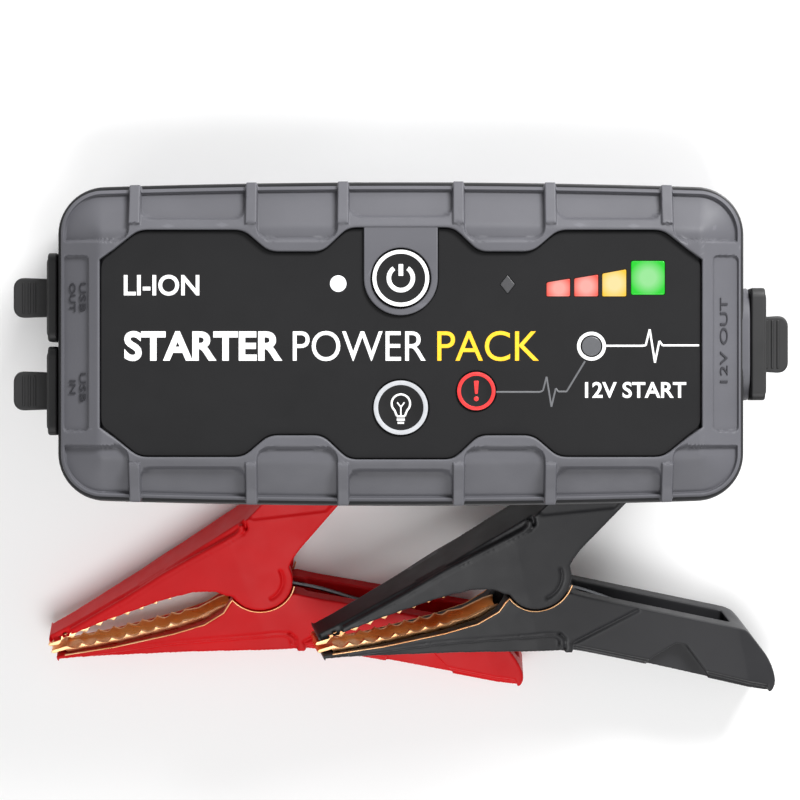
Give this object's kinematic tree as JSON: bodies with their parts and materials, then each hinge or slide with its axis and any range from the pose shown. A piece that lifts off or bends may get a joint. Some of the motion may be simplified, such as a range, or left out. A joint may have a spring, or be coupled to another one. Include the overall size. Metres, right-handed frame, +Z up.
{
  "type": "jump starter pack",
  "caption": "Handheld lithium jump starter in a ribbed rubber-edged case with port covers, leaning over two sprung battery clamps with toothed copper jaws.",
  "frame": {"origin": "middle of the footprint, on the table that the pack and its clamps lie on", "axes": "+X along the case's length from the USB end to the 12 V end, +Z up, +Y from the clamps towards the case"},
  "size_m": [0.2, 0.1576, 0.0688],
  "materials": {
    "black_plastic": "fine spark-eroded texture",
    "grey_rubber": "soft matte overmould",
    "seal_rubber": "matte",
    "panel_film": "satin film",
    "button_rubber": "matte",
    "switch_plastic": "satin",
    "white_lens": "clear, lit white",
    "dark_lens": "smoked",
    "red_lens": "translucent, lit",
    "yellow_lens": "translucent, lit",
    "green_lens": "translucent, lit",
    "cell_pouch": "foil pouch",
    "board_green": "solder mask",
    "heat_sink_metal": "milled",
    "relay_case": "satin",
    "port_steel": "plated",
    "contact_brass": "plated",
    "clear_lens": "clear moulded",
    "led_yellow": "phosphor",
    "screw_steel": "zinc plated",
    "cover_rubber": "matte",
    "red_plastic": "satin",
    "clamp_black": "satin",
    "jaw_copper": "bright copper plate"
  },
  "bodies": {
    "case": {"front_housing": "black_plastic", "rear_housing": "black_plastic", "output_socket": "black_plastic", "front_bumper": "grey_rubber", "rear_bumper": "grey_rubber", "housing_seal": "seal_rubber", "face_panel": "panel_film", "power_switch": "switch_plastic", "light_switch": "switch_plastic", "override_switch": "switch_plastic", "status_lens": "white_lens", "error_lens": "dark_lens", "boost_lens": "dark_lens", "charge_lens_1": "red_lens", "charge_lens_2": "red_lens", "charge_lens_3": "yellow_lens", "charge_lens_4": "green_lens", "battery_cell_1": "cell_pouch", "battery_cell_2": "cell_pouch", "battery_cell_3": "cell_pouch", "circuit_board": "board_green", "heat_sink": "heat_sink_metal", "lamp_reflector": "heat_sink_metal", "relay": "relay_case", "usb_out_socket": "port_steel", "usb_in_socket": "port_steel", "output_contact_positive": "contact_brass", "output_contact_negative": "contact_brass", "lamp_lens": "clear_lens", "lamp_led_1": "led_yellow", "lamp_led_2": "led_yellow", "housing_screw_1": "screw_steel", "housing_screw_2": "screw_steel", "housing_screw_3": "screw_steel", "housing_screw_4": "screw_steel"},
    "red_clamp": {"red_lower_arm": "red_plastic", "red_lower_jaw": "jaw_copper", "red_pivot_pin": "screw_steel", "red_spring": "screw_steel"},
    "red_lever": {"red_upper_arm": "red_plastic", "red_upper_jaw": "jaw_copper"},
    "black_clamp": {"black_lower_arm": "clamp_black", "black_lower_jaw": "jaw_copper", "black_pivot_pin": "screw_steel", "black_spring": "screw_steel"},
    "black_lever": {"black_upper_arm": "clamp_black", "black_upper_jaw": "jaw_copper"},
    "power_key": {"power_button": "button_rubber"},
    "light_key": {"light_button": "button_rubber"},
    "override_key": {"override_button": "button_rubber"},
    "usb_out_flap": {"usb_out_cover": "cover_rubber"},
    "usb_in_flap": {"usb_in_cover": "cover_rubber"},
    "output_flap": {"output_cover": "cover_rubber"}
  },
  "joints": [
    {"name": "red_clamp_slide", "type": "slide", "parent": "case", "child": "red_clamp", "axis": [-0.8, -0.6, 0], "range_m": [0, 0.06]},
    {"name": "red_jaw_pivot", "type": "hinge", "parent": "red_clamp", "child": "red_lever", "pos_m": [-0.03949, -0.04296, 0.00773], "axis": [0, 0, -1], "range_deg": [0, 28], "stiffness_Nm_per_rad": 0.5, "springref_deg": -20.05},
    {"name": "black_clamp_slide", "type": "slide", "parent": "case", "child": "black_clamp", "axis": [0.9806, -0.1961, 0], "range_m": [0, 0.06]},
    {"name": "black_jaw_pivot", "type": "hinge", "parent": "black_clamp", "child": "black_lever", "pos_m": [0.03301, -0.03696, 0.01946], "axis": [-0.225, -0.0478, -0.9732], "range_deg": [0, 28], "stiffness_Nm_per_rad": 0.5, "springref_deg": -20.05},
    {"name": "power_button_press", "type": "slide", "parent": "case", "child": "power_key", "axis": [0, -0.4067, -0.9135], "range_m": [0, 0.0008], "stiffness_N_per_m": 600, "springref_m": -0.001},
    {"name": "light_button_press", "type": "slide", "parent": "case", "child": "light_key", "axis": [0, -0.4067, -0.9135], "range_m": [0, 0.0005], "stiffness_N_per_m": 600, "springref_m": -0.001},
    {"name": "override_button_press", "type": "slide", "parent": "case", "child": "override_key", "axis": [0, -0.4067, -0.9135], "range_m": [0, 0.0005], "stiffness_N_per_m": 600, "springref_m": -0.001},
    {"name": "usb_out_cover_hinge", "type": "hinge", "parent": "case", "child": "usb_out_flap", "pos_m": [-0.08959, 0.04261, 0.02528], "axis": [0, -0.9135, 0.4067], "range_deg": [0, 110]},
    {"name": "usb_in_cover_hinge", "type": "hinge", "parent": "case", "child": "usb_in_flap", "pos_m": [-0.08959, 0.02105, 0.03488], "axis": [0, -0.9135, 0.4067], "range_deg": [0, 110]},
    {"name": "output_cover_hinge", "type": "hinge", "parent": "case", "child": "output_flap", "pos_m": [0.08831, 0.03183, 0.03008], "axis": [0, 0.9135, -0.4067], "range_deg": [0, 110]}
  ]
}
